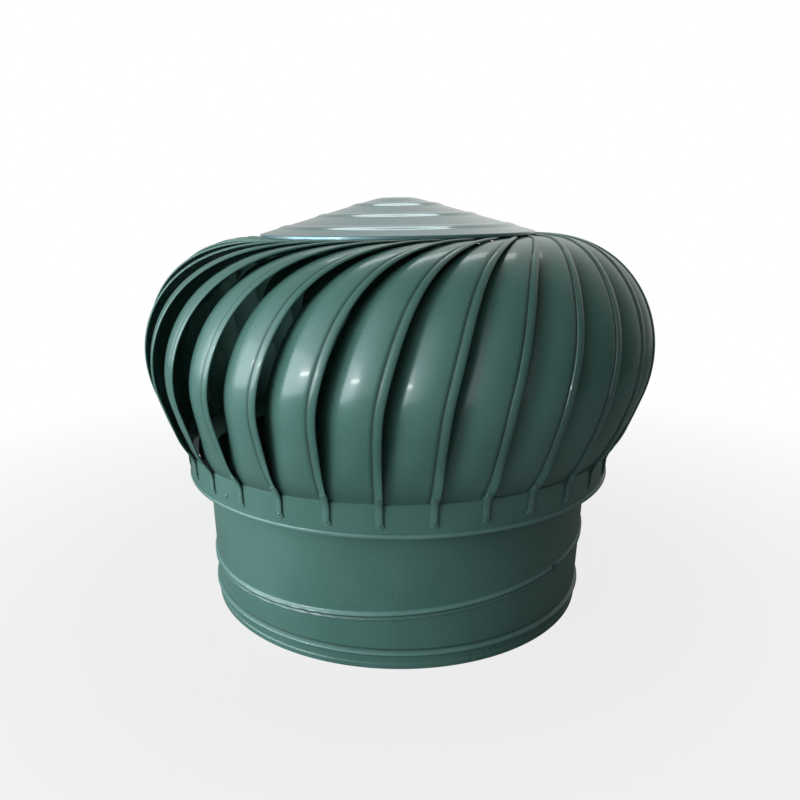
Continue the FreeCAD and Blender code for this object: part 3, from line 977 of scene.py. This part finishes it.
def makeFloor():
    # Pale and plain. The camera sees it lit near the neck, and going over to the white backdrop further out.
    s = studio
    r = Recipe(bpy.data.materials.new("floorPaint"))
    path = r.node("ShaderNodeLightPath", output="Is Camera Ray")
    where = r.place()
    flat = r.node("ShaderNodeVectorMath", {"operation": "MULTIPLY"}, {0: where, 1: (1, 1, 0)})
    far = r.node("ShaderNodeVectorMath", {"operation": "LENGTH"}, {0: flat}, "Value")
    far = far.within(s["floorNear"], s["floorFar"])
    tone = r.blend(r.noise(where, *s["floorGrain"]), *s["floorColours"])
    plain = r.node("ShaderNodeBsdfDiffuse", None, {"Color": tone})
    backdrop = r.node("ShaderNodeEmission", None, {"Color": (1, 1, 1), "Strength": 1.0})
    white = path * (s["floorWhite"] + s["floorWhiter"] * far)
    mixed = r.node("ShaderNodeMixShader", None, {0: white, 1: plain, 2: backdrop})
    r.node("ShaderNodeOutputMaterial", None, {"Surface": mixed})
    half = s["floorSize"] / 2
    corners = [(-half, -half, 0), (half, -half, 0), (half, half, 0), (-half, half, 0)]
    mesh = bpy.data.meshes.new("floor")
    mesh.from_pydata(corners, [], [(0, 1, 2, 3)])
    mesh.materials.append(r.owner)
    floor = bpy.data.objects.new("floor", mesh)
    bpy.context.scene.collection.objects.link(floor)


def makeWorld():
    # Soft light by direction: a cool lobe from the side, and weaker even ones over a low ambient light.
    # The camera sees plain white instead.
    world = bpy.data.worlds.new("studioWorld")
    bpy.context.scene.world = world
    r = Recipe(world)
    toward = r.node("ShaderNodeTexCoord", output="Generated")
    path = r.node("ShaderNodeLightPath", output="Is Camera Ray")

    def lobe(direction, sharpness, strength):
        way = tuple(Vector(direction).normalized())
        cosine = r.node("ShaderNodeVectorMath", {"operation": "DOT_PRODUCT"}, {0: toward, 1: way}, "Value")
        return cosine.within(0, 1) ** sharpness * strength

    def background(colour, strength):
        return r.node("ShaderNodeBackground", None, {"Color": colour, "Strength": strength})

    side = lobe(*studio["sideLobe"])
    right, top, front, far = (lobe(*studio[name]) for name in ("rightLobe", "topLobe", "frontLobe", "farLobe"))
    cool = background(studio["coolColour"], side)
    even = background(studio["evenColour"], right + top + front + far + studio["ambient"])
    soft = r.node("ShaderNodeAddShader", None, {0: cool, 1: even})
    mixed = r.node("ShaderNodeMixShader", None, {0: path, 1: soft, 2: background((1, 1, 1), 1.0)})
    r.node("ShaderNodeOutputWorld", None, {"Surface": mixed})


def makeLight():
    for name, values in studio["lamps"].items():
        addLamp(name, *values)


photoCamera = {
    "place": (-0.057, -1.129, 0.588),
    "pitch": 22.06,
    "roll": -0.84,
    "sensor": 36,
    "lens": 32.01,
    "shift": (0.0475, 0.125),
    "nearest": 0.02,
}


def makeCamera():
    # The camera fitted to the photograph: it looks along +Y, down by pitch, and leans by roll.
    c = photoCamera
    pitch, roll = math.radians(c["pitch"]), math.radians(c["roll"])
    ahead = Vector((0, math.cos(pitch), -math.sin(pitch)))
    right = Vector((1, 0, 0))
    up = Vector((0, math.sin(pitch), math.cos(pitch)))
    turnedRight = math.cos(roll) * right + math.sin(roll) * up
    turnedUp = -math.sin(roll) * right + math.cos(roll) * up
    data = bpy.data.cameras.new("photoCamera")
    data.sensor_width = c["sensor"]
    data.lens = c["lens"]
    data.shift_x, data.shift_y = c["shift"]
    data.clip_start = c["nearest"]
    camera = bpy.data.objects.new("photoCamera", data)
    bpy.context.scene.collection.objects.link(camera)
    camera.matrix_world = Matrix((
        (turnedRight.x, turnedUp.x, -ahead.x, c["place"][0]),
        (turnedRight.y, turnedUp.y, -ahead.y, c["place"][1]),
        (turnedRight.z, turnedUp.z, -ahead.z, c["place"][2]),
        (0, 0, 0, 1),
    ))
    bpy.context.scene.camera = camera


makeFloor()
makeWorld()
makeLight()
makeCamera()
bpy.context.scene.view_settings.view_transform = "Standard"
print("studio made")
